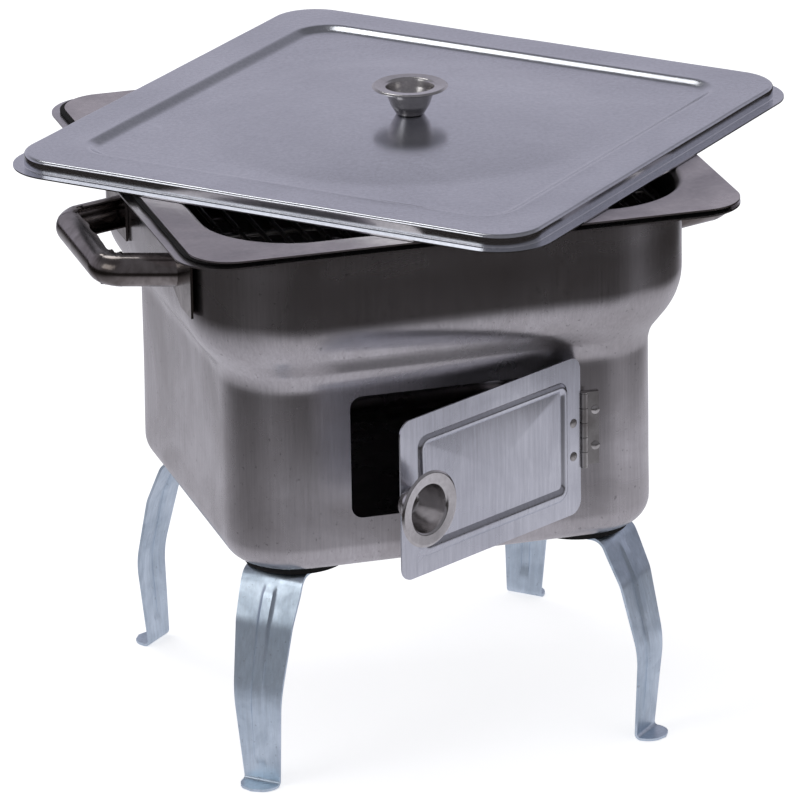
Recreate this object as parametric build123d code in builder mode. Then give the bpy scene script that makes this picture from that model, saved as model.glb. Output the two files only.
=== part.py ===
from build123d import *
from math import cos, hypot, radians, sin, sqrt, tan
import os

# A square sheet metal barbecue on four strip legs, in millimetres.
# It is drawn round the body's axis, and the last step moves the origin under the middle of
# the whole part. The door faces -Y and +Z is up.

# Body: one bowl drawn from sheet, wider at the top
sheet = 1.0
rim_half = 165.0
rim_corner = 29.0
rim_width = 19.0
rim_bend = 3.0
collar_corner = 61.5
shoulder_step = 19.5
body_height = 203.1
bottom_bend = 15.0
shoulder_height = 109.0
shoulder_slope = 38.0
shoulder_lower_share = 1.13
shoulder_upper_share = 2.05

# Legs: zinc-plated strip with a pressed rib, under a heat-proof disc each
leg_height = 124.5
leg_strip = 1.6
leg_top_width = 39.0
leg_foot_width = 23.0
leg_tab_length = 26.0
leg_tab_corner = 13.0
leg_top_out = 26.0
leg_shin_out = 38.5
leg_shin_height = 97.0
leg_knee_out = 48.5
leg_knee_height = 55.0
leg_ankle_out = 44.3
leg_foot_length = 13.2
leg_foot_corner = 11.1
leg_top_bend = 10.0
leg_shin_bend = 30.0
leg_knee_bend = 60.0
leg_ankle_bend = 2.0
rib_width = 7.0
rib_rise = 1.3
rib_low = 14.0
rib_high = 115.0
disc_radius = 29.5
disc_thickness = 3.0

# Bolt and nut that hold each leg
bolt_radius = 2.5
bolt_head_radius = 5.0
bolt_head_height = 3.2
bolt_end = 2.0
nut_half_flats = 4.0
nut_height = 4.0

# Seal between the rim and the fire pan
gasket_thickness = 2.6
gasket_set_in = 5.0
gasket_corner = 24.5
gasket_gap = 3.0

# Fire pan, which hangs in the body by its flange
pan_shift_x = 2.8
pan_shift_y = -3.7
pan_flange_set_in = 4.0
pan_flange_corner = 25.0
pan_opening_set_in = 2.8
pan_opening_corner = 57.0
pan_draw_bend = 5.0
pan_ledge_depth = 22.0
pan_ledge_width = 10.0
pan_depth = 60.0
pan_floor_bend = 17.0
ash_hole_radius = 4.5
ash_hole_pitch = 28.0
ash_hole_rows = 7

# Cooking grid of welded wire
grid_frame_radius = 2.5
grid_bar_radius = 1.75
grid_bar_pitch = 11.0
grid_bars_each_side = 11
grid_tie_place = 62.0
grid_side_gap = 4.5

# Lid, laid askew on the fire pan
lid_x = 17.5
lid_y = 30.2
lid_turn = -46.0
lid_sheet = 0.8
lid_height = 8.5
lid_play = 5.5
lid_corner = 26.0
lid_edge_bend = 2.0
lid_lip_width = 6.5
lid_lip_bend = 0.5
lid_band_width = 27.1
recess_corner = 22.7
recess_depth = 3.0
recess_slope_width = 6.0
crown_radius = 120.0
crown_rise = 4.1
lid_knob_shift = 4.6

# Knob: one hollow drawn cup, the same on the lid and on the door
knob_sheet = 0.6
knob_base_radius = 8.0
knob_waist_radius = 11.5
knob_waist_height = 6.0
knob_bowl_radius = 13.6
knob_bowl_height = 12.0
knob_mouth_radius = 14.6
knob_mouth_height = 16.6
knob_rim_radius = 21.8
knob_rim_height = 17.1
knob_base_bend = 2.5
knob_wall_bend = 8.0
knob_rim_bend = 1.2
knob_rivet_radius = 2.0
knob_rivet_head = 3.9
knob_rivet_head_rise = 1.4
knob_rivet_tail = 3.0
knob_rivet_tail_rise = 0.9

# Door opening, door and hinge
opening_width = 125.0
opening_height = 73.0
opening_corner = 7.0
door_middle = 68.5
door_width = 149.0
door_height = 94.5
door_corner = 8.0
door_sheet = 1.0
door_angle = 30.0
bead_rise = 1.6
bead_hinge_margin = 11.2
bead_free_margin = 14.0
bead_top_margin = 11.9
bead_low_margin = 10.6
bead_side_width = 5.6
bead_top_width = 5.6
bead_low_width = 8.0
bead_corner = 7.0
bead_inner_corner = 2.4
bead_round = 0.96
door_knob_inset = 5.0
hinge_side_margin = 12.6
hinge_height = 44.0
hinge_rise = 1.8
hinge_leaf = 1.0
hinge_wall_reach = 9.4
hinge_door_reach = 13.5
pin_radius = 1.25
pin_head_radius = 2.1
pin_head_height = 0.8
knuckles = 5
hinge_rivet_radius = 1.6
wall_rivet_place = 7.2
wall_rivet_spacing = 21.6
wall_rivet_head = 2.6
wall_rivet_head_rise = 1.1
wall_rivet_tail = 2.4
wall_rivet_tail_rise = 1.5
door_rivet_place = 8.8
door_rivet_spacing = 20.1
door_rivet_drop = 2.2
door_rivet_head = 2.75
door_rivet_head_rise = 0.6

# Handles: hollow bails of channel section, each on two strap plates
handle_middle = -10.0
handle_reach = 46.0
handle_half_length = 65.8
handle_splay = 15.6
handle_bend = 22.0
handle_height = 18.6
handle_depth = 12.5
handle_sheet = 1.0
handle_below_rim = 32.1
strap_thickness = 1.5
strap_width = 43.0
strap_drop = 49.1
strap_top_gap = 4.6
strap_taper = 9.0
left_strap_edge = -103.0
right_strap_edge = -88.0

# Clearances
seat_gap = 0.3
swing_gap = 0.3
panel_gap = 0.5
pin_gap = 0.05
hole_gap = 0.05

# Widths that follow from the rim: a change of the rim carries every piece with it
collar_half = rim_half - rim_width
lower_half = collar_half - shoulder_step
gasket_half = rim_half - gasket_set_in
pan_flange_half = rim_half - pan_flange_set_in
pan_opening_half = collar_half - pan_opening_set_in
lid_half = pan_flange_half + lid_play
recess_half = lid_half - lid_band_width
corner_centre = collar_half - collar_corner
bolt_reach = hypot(corner_centre, corner_centre)
shoulder_lower_bend = shoulder_lower_share * shoulder_step
shoulder_upper_bend = shoulder_upper_share * shoulder_step

# Heights that follow from the stack of pieces
bottom_z = leg_height + disc_thickness
rim_z = bottom_z + body_height
pan_z = rim_z + gasket_thickness + sheet
lid_z = pan_z + seat_gap
ledge_z = pan_z - pan_ledge_depth
pan_floor_z = pan_z - pan_depth
door_z = bottom_z + door_middle
hinge_z = door_z + hinge_rise
hinge_x = opening_width / 2 + hinge_side_margin
knuckle_radius = pin_radius + pin_gap + hinge_leaf
hinge_y = -lower_half - swing_gap - knuckle_radius


def upright(seat):
    """The plane that stands on a seat plane and holds its axis."""
    return Plane(origin=seat.origin, x_dir=seat.x_dir, z_dir=-seat.y_dir)


def drawn_edge(seat, points, radii, half, corner, thickness, side):
    """A sheet section carried round a rounded square: one quarter, then its mirror images."""
    with BuildPart() as edge:
        with BuildLine(seat) as quarter:
            FilletPolyline((half, 0), (half, half), (0, half), radius=corner)
        with BuildSketch(upright(seat)):
            with BuildLine():
                FilletPolyline(*points, radius=radii)
                offset(amount=thickness, side=side)
            make_face()
        sweep(path=quarter.wires()[0])
        mirror(about=upright(seat))
        mirror(about=Plane(origin=seat.origin, x_dir=seat.y_dir, z_dir=seat.x_dir))
    return edge


def square_plate(seat, half, corner, thickness):
    """A flat plate with rounded corners that rises from its seat."""
    with BuildPart() as plate:
        with BuildSketch(seat):
            RectangleRounded(2 * half, 2 * half, corner)
        extrude(amount=thickness)
    return plate


def make_body():
    """The bowl: bottom, lower wall, shoulder, collar and rim, with its holes."""
    ground = Plane.XY
    shoulder_run = (collar_half - lower_half) / tan(radians(shoulder_slope))
    low_turn = bottom_z + shoulder_height + shoulder_lower_bend * tan(radians(shoulder_slope / 2))
    bottom_start = corner_centre + sheet
    rim_start = collar_half + rim_bend + 2 * sheet
    wall = [
        (bottom_start, bottom_z),
        (lower_half, bottom_z),
        (lower_half, low_turn),
        (collar_half, low_turn + shoulder_run),
        (collar_half, rim_z - sheet),
        (rim_start, rim_z - sheet),
    ]
    bends = [bottom_bend, shoulder_lower_bend, shoulder_upper_bend, rim_bend]
    lower_corner = lower_half - corner_centre
    bowl = drawn_edge(ground, wall, bends, lower_half, lower_corner, sheet, Side.LEFT)
    floor_half = bottom_start + sheet
    floor = square_plate(ground.offset(bottom_z), floor_half, floor_half - corner_centre, sheet)
    with BuildPart() as body:
        add(bowl.part)
        add(floor.part)
        with BuildSketch(ground.offset(rim_z)):
            RectangleRounded(2 * rim_half, 2 * rim_half, rim_corner)
            inner = rim_start - sheet
            RectangleRounded(2 * inner, 2 * inner, inner - corner_centre, mode=Mode.SUBTRACT)
        extrude(amount=-sheet)
        with BuildSketch(Plane.XZ.offset(lower_half)):
            with Locations((0, door_z)):
                RectangleRounded(opening_width, opening_height, opening_corner)
        extrude(amount=bottom_bend, both=True, mode=Mode.SUBTRACT)
        with BuildSketch(ground.offset(bottom_z)):
            with GridLocations(2 * corner_centre, 2 * corner_centre, 2, 2):
                Circle(bolt_radius + hole_gap)
        extrude(amount=sheet, mode=Mode.SUBTRACT)
        with BuildSketch(Plane.XZ.offset(lower_half)):
            with Locations((hinge_x + wall_rivet_place, hinge_z)):
                with GridLocations(1, wall_rivet_spacing, 1, 2):
                    Circle(hinge_rivet_radius + hole_gap)
        extrude(amount=-2 * sheet, mode=Mode.SUBTRACT)
    return body


def make_gasket():
    """The flat seal ring on the rim."""
    inner = collar_half + gasket_gap
    with BuildPart() as gasket:
        with BuildSketch(Plane.XY.offset(rim_z)):
            RectangleRounded(2 * gasket_half, 2 * gasket_half, gasket_corner)
            RectangleRounded(2 * inner, 2 * inner, inner - corner_centre, mode=Mode.SUBTRACT)
        extrude(amount=gasket_thickness)
    return gasket


def make_pan():
    """The fire pan: flange, ledge for the grid, and a floor with ash holes."""
    middle = Plane(origin=(pan_shift_x, pan_shift_y, 0))
    pan_corner_centre = pan_opening_half - pan_opening_corner
    wall_half = pan_opening_half - pan_draw_bend
    well_half = wall_half - pan_ledge_width
    floor_half = well_half - pan_floor_bend - sheet
    section = [
        (floor_half, pan_floor_z),
        (well_half, pan_floor_z),
        (well_half, ledge_z),
        (wall_half, ledge_z),
        (wall_half, pan_z),
        (pan_opening_half + 2 * sheet, pan_z),
    ]
    bends = [pan_floor_bend, sheet, 2 * sheet, pan_draw_bend]
    well_corner = well_half - pan_corner_centre
    well = drawn_edge(middle, section, bends, well_half, well_corner, sheet, Side.RIGHT)
    plate_half = floor_half + sheet
    floor = square_plate(
        middle.offset(pan_floor_z - sheet), plate_half, plate_half - pan_corner_centre, sheet
    )
    with BuildPart() as pan:
        add(well.part)
        add(floor.part)
        with BuildSketch(middle.offset(pan_z)):
            RectangleRounded(2 * pan_flange_half, 2 * pan_flange_half, pan_flange_corner)
            inner = pan_opening_half + sheet
            RectangleRounded(2 * inner, 2 * inner, inner - pan_corner_centre, mode=Mode.SUBTRACT)
        extrude(amount=-sheet)
        with BuildSketch(middle.offset(pan_floor_z)):
            with GridLocations(ash_hole_pitch, ash_hole_pitch, ash_hole_rows, ash_hole_rows):
                Circle(ash_hole_radius)
        extrude(amount=-2 * sheet, mode=Mode.SUBTRACT)
    return pan


def make_grid():
    """The cooking grid: a wire frame, bars between its sides and two ties under the bars."""
    frame_z = ledge_z + seat_gap + grid_frame_radius
    middle = Plane(origin=(pan_shift_x, pan_shift_y, frame_z))
    pan_corner_centre = pan_opening_half - pan_opening_corner
    half = pan_opening_half - pan_draw_bend - grid_side_gap - grid_frame_radius
    corner = half - pan_corner_centre
    bar_rise = grid_frame_radius - grid_bar_radius
    with BuildPart() as grid:
        with BuildLine(middle) as quarter:
            FilletPolyline((half, 0), (half, half), (0, half), radius=corner)
        with BuildSketch(upright(middle)):
            with Locations((half, 0)):
                Circle(grid_frame_radius)
        sweep(path=quarter.wires()[0])
        mirror(about=upright(middle))
        mirror(about=Plane(origin=middle.origin, x_dir=middle.y_dir, z_dir=middle.x_dir))
        for step in range(-grid_bars_each_side, grid_bars_each_side + 1):
            place = step * grid_bar_pitch
            past = max(abs(place) - pan_corner_centre, 0)
            reach = pan_corner_centre + sqrt(corner**2 - past**2)
            with BuildSketch(upright(middle)):
                with Locations((place, bar_rise)):
                    Circle(grid_bar_radius)
            extrude(amount=reach, both=True)
        for place in (-grid_tie_place, grid_tie_place):
            with BuildSketch(Plane(origin=middle.origin, x_dir=middle.y_dir, z_dir=middle.x_dir)):
                with Locations((place, -bar_rise)):
                    Circle(grid_bar_radius)
            extrude(amount=half, both=True)
    return grid


def lens(seat, radius, rise):
    """A shallow round crown on its seat."""
    with BuildPart() as crown:
        with BuildSketch(upright(seat)):
            with BuildLine():
                ball = (radius**2 + rise**2) / (2 * rise)
                Line((0, 0), (radius, 0))
                RadiusArc((radius, 0), (0, rise), -ball)
                Line((0, rise), (0, 0))
            make_face()
        revolve(axis=Axis(seat.origin, seat.z_dir))
    return crown


def stepped_loft(seat, high, high_half, high_corner, low, low_half, low_corner):
    """A block that narrows from one rounded square down to another."""
    with BuildPart() as block:
        with BuildSketch(seat.offset(high)):
            RectangleRounded(2 * high_half, 2 * high_half, high_corner)
        with BuildSketch(seat.offset(low)):
            RectangleRounded(2 * low_half, 2 * low_half, low_corner)
        loft(ruled=True)
    return block


def make_lid(seat):
    """The lid: skirt with an outward lip, a flat band and a sunk panel with a low crown."""
    band_start = lid_half - 3 * lid_edge_bend
    corner_place = lid_half - lid_corner
    section = [
        (band_start, lid_height),
        (lid_half, lid_height),
        (lid_half, lid_sheet),
        (lid_half + lid_lip_width, lid_sheet),
    ]
    bends = [lid_edge_bend, lid_lip_bend]
    skirt = drawn_edge(seat, section, bends, lid_half, lid_corner, lid_sheet, Side.RIGHT)
    band_half = band_start + lid_sheet
    band = square_plate(
        seat.offset(lid_height - lid_sheet), band_half, band_half - corner_place, lid_sheet
    )
    floor_half = recess_half - recess_slope_width
    floor_corner = recess_corner - recess_slope_width
    floor_z = lid_height - recess_depth
    slope = hypot(recess_depth, recess_slope_width)
    under = lid_sheet * (slope - recess_slope_width) / recess_depth
    below = stepped_loft(
        seat,
        lid_height - lid_sheet, recess_half + under, recess_corner + under,
        floor_z - lid_sheet, floor_half + under, floor_corner + under,
    )
    above = stepped_loft(
        seat,
        lid_height, recess_half, recess_corner,
        floor_z, floor_half, floor_corner,
    )
    crown = lens(seat.offset(floor_z), crown_radius, crown_rise)
    hollow = lens(seat.offset(floor_z - lid_sheet), crown_radius, crown_rise)
    with BuildPart() as lid:
        add(skirt.part)
        add(band.part)
        add(below.part)
        add(above.part, mode=Mode.SUBTRACT)
        add(crown.part)
        add(hollow.part, mode=Mode.SUBTRACT)
        with BuildSketch(lid_knob_seat):
            Circle(knob_rivet_radius + hole_gap)
        extrude(amount=2 * lid_sheet, both=True, mode=Mode.SUBTRACT)
    return lid


def make_knob(seat):
    """The hollow cup with a flared rim and a rivet hole in its base."""
    section = [
        (knob_rivet_radius + hole_gap, 0),
        (knob_base_radius, 0),
        (knob_waist_radius, knob_waist_height),
        (knob_bowl_radius, knob_bowl_height),
        (knob_mouth_radius, knob_mouth_height),
        (knob_rim_radius, knob_rim_height),
    ]
    with BuildPart() as knob:
        with BuildSketch(upright(seat)):
            with BuildLine():
                bends = [knob_base_bend, knob_wall_bend, knob_wall_bend, knob_rim_bend]
                FilletPolyline(*section, radius=bends)
                offset(amount=knob_sheet, side=Side.LEFT)
            make_face()
        revolve(axis=Axis(seat.origin, seat.z_dir))
    return knob


def make_rivets(seats, shank, grip, head, head_rise, tail, tail_rise):
    """Rivets with a low head on each seat, a shank through the grip and a set tail behind it."""
    edge_rise = head_rise / 4
    dome = head_rise - edge_rise
    ball = (head**2 + dome**2) / (2 * dome)
    outline = [(0, head_rise), (0, -grip - tail_rise)]
    if tail_rise:
        outline += [(tail, -grip - tail_rise), (tail, -grip)]
    outline += [(shank, -grip), (shank, 0), (head, 0), (head, edge_rise)]
    with BuildPart() as rivets:
        for seat in seats:
            with BuildSketch(upright(seat)):
                with BuildLine():
                    Polyline(*outline)
                    RadiusArc((head, edge_rise), (0, head_rise), -ball)
                make_face()
            revolve(axis=Axis(seat.origin, seat.z_dir))
    return rivets


def make_leg():
    """One leg, reaching along +X: a bent strip, tapered to its foot, with a pressed rib."""
    knee_reach = bolt_reach + leg_knee_out
    ankle_reach = bolt_reach + leg_ankle_out
    outside = [
        (bolt_reach - leg_tab_length, leg_height),
        (bolt_reach + leg_top_out, leg_height),
        (bolt_reach + leg_shin_out, leg_shin_height),
        (knee_reach, leg_knee_height),
        (ankle_reach, leg_strip),
        (ankle_reach + leg_foot_length, leg_strip),
    ]
    bends = [leg_top_bend, leg_shin_bend, leg_knee_bend, leg_ankle_bend]
    with BuildPart() as leg:
        with BuildSketch(Plane.XZ):
            with BuildLine():
                FilletPolyline(*outside, radius=bends)
                offset(amount=leg_strip, side=Side.RIGHT)
            make_face()
        extrude(amount=leg_top_width, both=True)
        with BuildSketch(Plane.XZ):
            with BuildLine():
                FilletPolyline(*outside, radius=bends)
                offset(amount=rib_rise, side=Side.LEFT)
            make_face()
            with Locations((knee_reach, (rib_low + rib_high) / 2)):
                Rectangle(leg_top_width, rib_high - rib_low, mode=Mode.INTERSECT)
        extrude(amount=rib_width / 2, both=True)
        with BuildSketch(Plane.YZ):
            with BuildLine():
                top = leg_top_width / 2
                foot = leg_foot_width / 2
                Polyline(
                    (-foot, 0), (foot, 0), (foot, 2 * leg_strip), (top, leg_height - leg_top_bend),
                    (top, leg_height), (-top, leg_height), (-top, leg_height - leg_top_bend),
                    (-foot, 2 * leg_strip), (-foot, 0),
                )
            make_face()
        extrude(amount=2 * knee_reach, mode=Mode.INTERSECT)
        ends = leg.edges().filter_by(Axis.Z).sort_by(Axis.X)
        fillet(ends[-2:], radius=leg_foot_corner)
        fillet(ends[:2], radius=leg_tab_corner)
        with BuildSketch(Plane.XY.offset(leg_height)):
            with Locations((bolt_reach, 0)):
                Circle(bolt_radius + hole_gap)
        extrude(amount=-2 * leg_strip, mode=Mode.SUBTRACT)
    return leg


def corner_places():
    """The four corners by name, with the direction of each leg in degrees."""
    return {"front_left": 225, "front_right": 315, "back_left": 135, "back_right": 45}


def turned_leg(blank, turn):
    """A copy of the leg blank, turned to its corner."""
    with BuildPart() as leg:
        add(blank.part, rotation=(0, 0, turn))
    return leg


def make_disc(turn):
    """The heat-proof disc between a leg and the bottom of the body."""
    along, across = cos(radians(turn)), sin(radians(turn))
    place = Plane(origin=(bolt_reach * along, bolt_reach * across, leg_height))
    with BuildPart() as disc:
        with BuildSketch(place):
            Circle(disc_radius)
            Circle(bolt_radius + hole_gap, mode=Mode.SUBTRACT)
        extrude(amount=disc_thickness)
    return disc


def make_leg_bolts():
    """Four round-headed bolts, put in from inside the body."""
    with BuildPart() as bolts:
        with BuildSketch(Plane.XY.offset(bottom_z + sheet)):
            with GridLocations(2 * corner_centre, 2 * corner_centre, 2, 2):
                Circle(bolt_head_radius)
        extrude(amount=bolt_head_height)
        fillet(bolts.faces().sort_by(Axis.Z)[-4:].edges(), radius=bolt_head_height / 2)
        with BuildSketch(Plane.XY.offset(bottom_z + sheet)):
            with GridLocations(2 * corner_centre, 2 * corner_centre, 2, 2):
                Circle(bolt_radius)
        extrude(amount=-sheet - disc_thickness - leg_strip - nut_height - bolt_end)
    return bolts


def make_leg_nuts():
    """The hexagon nuts under the four leg tabs."""
    with BuildPart() as nuts:
        with BuildSketch(Plane.XY.offset(leg_height - leg_strip)):
            with GridLocations(2 * corner_centre, 2 * corner_centre, 2, 2):
                RegularPolygon(nut_half_flats, 6, major_radius=False)
                Circle(bolt_radius + hole_gap, mode=Mode.SUBTRACT)
        extrude(amount=-nut_height)
    return nuts


def make_handle(outward):
    """A hollow bail, open on its inside, that stands off the wall from two arm ends."""
    face = collar_half + strap_thickness
    tip = collar_half + handle_reach
    level = Plane(origin=(0, handle_middle, rim_z - handle_below_rim))
    arm_slope = handle_splay / (tip - face)
    start = face - 2 * handle_depth * arm_slope
    start_half = handle_half_length + (face - start) * arm_slope
    route = [
        (outward * start, -start_half),
        (outward * tip, -handle_half_length + handle_splay),
        (outward * tip, handle_half_length - handle_splay),
        (outward * start, start_half),
    ]
    round_radius = handle_height / 2
    with BuildPart() as handle:
        with BuildLine(level) as path:
            FilletPolyline(*route, radius=handle_bend)
        first = Vector(*route[0])
        along = (Vector(*route[1]) - first).normalized()
        inward = Vector(-along.Y, along.X) * outward
        world_start = level.from_local_coords(first)
        with BuildSketch(Plane(origin=world_start, x_dir=inward, z_dir=along)):
            up = round_radius
            with BuildLine():
                Line((handle_depth, up), (round_radius, up))
                ThreePointArc((round_radius, up), (0, 0), (round_radius, -up))
                Line((round_radius, -up), (handle_depth, -up))
                offset(amount=handle_sheet, side=Side.LEFT)
            make_face()
        sweep(path=path.wires()[0])
        split(bisect_by=Plane(origin=(outward * face, 0, 0), z_dir=(outward, 0, 0)), keep=Keep.TOP)
    return handle


def make_strap(outward, edge):
    """A plate on the collar wall that carries one arm end of a handle."""
    top = rim_z - strap_top_gap
    low = rim_z - strap_drop
    with BuildPart() as strap:
        with BuildSketch(Plane.YZ.offset(outward * collar_half)):
            with BuildLine():
                Polyline(
                    (edge, low), (edge + strap_width / 2, low),
                    (edge + strap_width, low + strap_taper), (edge + strap_width, top),
                    (edge, top), (edge, low),
                )
            make_face()
        extrude(amount=outward * strap_thickness)
    return strap


def knuckle_span(number):
    """Lower and upper height of one knuckle, with the end gap between neighbours."""
    pitch = hinge_height / knuckles
    low = hinge_z - hinge_height / 2 + number * pitch
    return low + swing_gap / 2, low + pitch - swing_gap / 2


def make_hinge_leaf(seat, reach, back, own, rivet_place, rivet_spacing, rivet_z):
    """A flat leaf with its own knuckles and notches round the other leaf's knuckles.

    The seat plane lies on the pin's axis, with its x axis along the leaf and its
    z axis away from the leaf's flat side, which is back millimetres behind the axis.
    """
    bore = pin_radius + pin_gap
    clear = knuckle_radius + swing_gap
    side = seat.x_dir
    with BuildPart() as leaf:
        for number in range(knuckles):
            low, high = knuckle_span(number)
            start = 0 if number in own else clear
            if number not in own:
                low, high = low - swing_gap, high + swing_gap
            low = max(low, hinge_z - hinge_height / 2)
            high = min(high, hinge_z + hinge_height / 2)
            middle = seat.origin + side * (start + reach) / 2 + Vector(0, 0, (low + high) / 2)
            with BuildSketch(Plane(origin=middle - seat.z_dir * back, x_dir=side, z_dir=seat.z_dir)):
                Rectangle(reach - start, high - low)
            extrude(amount=hinge_leaf)
            if number in own:
                with BuildSketch(Plane(origin=seat.origin + Vector(0, 0, low))):
                    Circle(knuckle_radius)
                extrude(amount=high - low)
        with BuildSketch(Plane(origin=seat.origin + Vector(0, 0, hinge_z - hinge_height))):
            Circle(bore)
        extrude(amount=2 * hinge_height, mode=Mode.SUBTRACT)
        hole_place = seat.origin + side * rivet_place + Vector(0, 0, rivet_z)
        with BuildSketch(Plane(origin=hole_place, x_dir=side, z_dir=seat.z_dir)):
            with GridLocations(1, rivet_spacing, 1, 2):
                Circle(hinge_rivet_radius + hole_gap)
        extrude(amount=-2 * back, mode=Mode.SUBTRACT)
    return leaf


def make_pin():
    """The hinge pin with a peened head at each end."""
    low = hinge_z - hinge_height / 2
    with BuildPart() as pin:
        with BuildSketch(Plane(origin=(hinge_x, hinge_y, low - pin_head_height))):
            Circle(pin_radius)
        extrude(amount=hinge_height + 2 * pin_head_height)
        for height in (low - pin_head_height, low + hinge_height):
            with BuildSketch(Plane(origin=(hinge_x, hinge_y, height))):
                Circle(pin_head_radius)
            extrude(amount=pin_head_height)
    return pin


def bead_outline(grow):
    """The bead's band on the door as a sketch, drawn in from both edges by a wall."""
    left = -panel_start - door_width + bead_free_margin + grow
    right = -panel_start - bead_hinge_margin - grow
    low = -door_height / 2 + bead_low_margin + grow
    high = door_height / 2 - bead_top_margin - grow
    inner_left = left + bead_side_width - 2 * grow
    inner_right = right - bead_side_width + 2 * grow
    inner_low = low + bead_low_width - 2 * grow
    inner_high = high - bead_top_width + 2 * grow
    with BuildSketch(Plane.XY) as band:
        with Locations(((left + right) / 2, (low + high) / 2)):
            RectangleRounded(right - left, high - low, bead_corner - grow)
        with Locations(((inner_left + inner_right) / 2, (inner_low + inner_high) / 2)):
            RectangleRounded(
                inner_right - inner_left, inner_high - inner_low,
                bead_inner_corner + grow, mode=Mode.SUBTRACT,
            )
    return band.sketch


def make_door():
    """The door sheet with its pressed bead and its rivet holes."""
    face = door_seat.offset(panel_face)
    with BuildPart() as door:
        with BuildSketch(face.offset(-door_sheet)):
            with Locations((-panel_start - door_width / 2, 0)):
                RectangleRounded(door_width, door_height, door_corner)
        extrude(amount=door_sheet)
        with BuildSketch(face):
            add(bead_outline(0))
        extrude(amount=bead_rise)
        top = door.faces().sort_by(Axis(face.origin, face.z_dir))[-1]
        fillet(top.edges(), radius=bead_round)
        with BuildSketch(face.offset(-door_sheet)):
            add(bead_outline(door_sheet))
        extrude(amount=bead_rise, mode=Mode.SUBTRACT)
        with BuildSketch(face):
            with Locations((door_knob_place, 0)):
                Circle(knob_rivet_radius + hole_gap)
            with Locations((-door_rivet_place, -door_rivet_drop)):
                with GridLocations(1, door_rivet_spacing, 1, 2):
                    Circle(hinge_rivet_radius + hole_gap)
        extrude(amount=-2 * door_sheet, mode=Mode.SUBTRACT)
    return door


# Planes that the moving pieces are built on
lid_seat = Plane(
    origin=(lid_x, lid_y, lid_z),
    x_dir=(cos(radians(lid_turn)), sin(radians(lid_turn)), 0),
    z_dir=(0, 0, 1),
)
crown_top = lid_z + lid_height - recess_depth + crown_rise
lid_knob_seat = Plane(origin=(lid_x + lid_knob_shift, lid_y, crown_top))

# The door's plane holds the pin's axis: x runs from the free edge to the pin, z points outward
panel_start = knuckle_radius + panel_gap
panel_face = door_sheet - pin_radius - pin_gap
door_seat = Plane(
    origin=(hinge_x, hinge_y, door_z),
    x_dir=(cos(radians(door_angle)), sin(radians(door_angle)), 0),
    z_dir=(sin(radians(door_angle)), -cos(radians(door_angle)), 0),
)
door_knob_place = -panel_start - door_width + door_knob_inset
door_knob_seat = Plane(
    origin=door_seat.from_local_coords(Vector(door_knob_place, 0, panel_face)),
    x_dir=door_seat.x_dir,
    z_dir=door_seat.z_dir,
)

os.makedirs("parts", exist_ok=True)
pieces = {
    "body_shell": make_body(),
    "rim_gasket": make_gasket(),
    "fire_pan": make_pan(),
    "cooking_grid": make_grid(),
    "lid_panel": make_lid(lid_seat),
    "lid_knob": make_knob(lid_knob_seat),
    "door_panel": make_door(),
    "door_knob": make_knob(door_knob_seat),
    "leg_bolts": make_leg_bolts(),
    "leg_nuts": make_leg_nuts(),
    "hinge_pin": make_pin(),
    "left_handle": make_handle(-1),
    "right_handle": make_handle(1),
}

# Handle straps: the far strap of each pair mirrors the near one across the handle's middle
for side_name, outward, edge in (("left", -1, left_strap_edge), ("right", 1, right_strap_edge)):
    far_edge = 2 * handle_middle - edge - strap_width
    pieces[side_name + "_handle_front_strap"] = make_strap(outward, edge)
    pieces[side_name + "_handle_back_strap"] = make_strap(outward, far_edge)

# Legs and their discs
leg_blank = make_leg()
for corner_name, turn in corner_places().items():
    pieces["leg_" + corner_name] = turned_leg(leg_blank, turn)
    pieces["leg_disc_" + corner_name] = make_disc(turn)

# Rivets
lid_knob_base = lid_knob_seat.offset(knob_sheet)
crown_ball = (crown_radius**2 + crown_rise**2) / (2 * crown_rise)
tail_sag = (lid_knob_shift + knob_rivet_tail) ** 2 / (2 * crown_ball)
pieces["lid_knob_rivet"] = make_rivets(
    [lid_knob_base], knob_rivet_radius, knob_sheet + lid_sheet + tail_sag,
    knob_rivet_head, knob_rivet_head_rise, knob_rivet_tail, knob_rivet_tail_rise,
)
door_knob_base = door_knob_seat.offset(knob_sheet)
pieces["door_knob_rivet"] = make_rivets(
    [door_knob_base], knob_rivet_radius, knob_sheet + door_sheet,
    knob_rivet_head, knob_rivet_head_rise, knob_rivet_tail, knob_rivet_tail_rise,
)
wall_rivet_seats = [
    Plane(
        origin=(hinge_x + wall_rivet_place, -lower_half - hinge_leaf, hinge_z + step),
        x_dir=(1, 0, 0), z_dir=(0, -1, 0),
    )
    for step in (-wall_rivet_spacing / 2, wall_rivet_spacing / 2)
]
pieces["hinge_wall_rivets"] = make_rivets(
    wall_rivet_seats, hinge_rivet_radius, hinge_leaf + sheet,
    wall_rivet_head, wall_rivet_head_rise, wall_rivet_tail, wall_rivet_tail_rise,
)
door_rivet_seats = [
    Plane(
        origin=door_seat.from_local_coords(
            Vector(-door_rivet_place, step - door_rivet_drop, panel_face)
        ),
        x_dir=door_seat.x_dir, z_dir=door_seat.z_dir,
    )
    for step in (-door_rivet_spacing / 2, door_rivet_spacing / 2)
]

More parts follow.
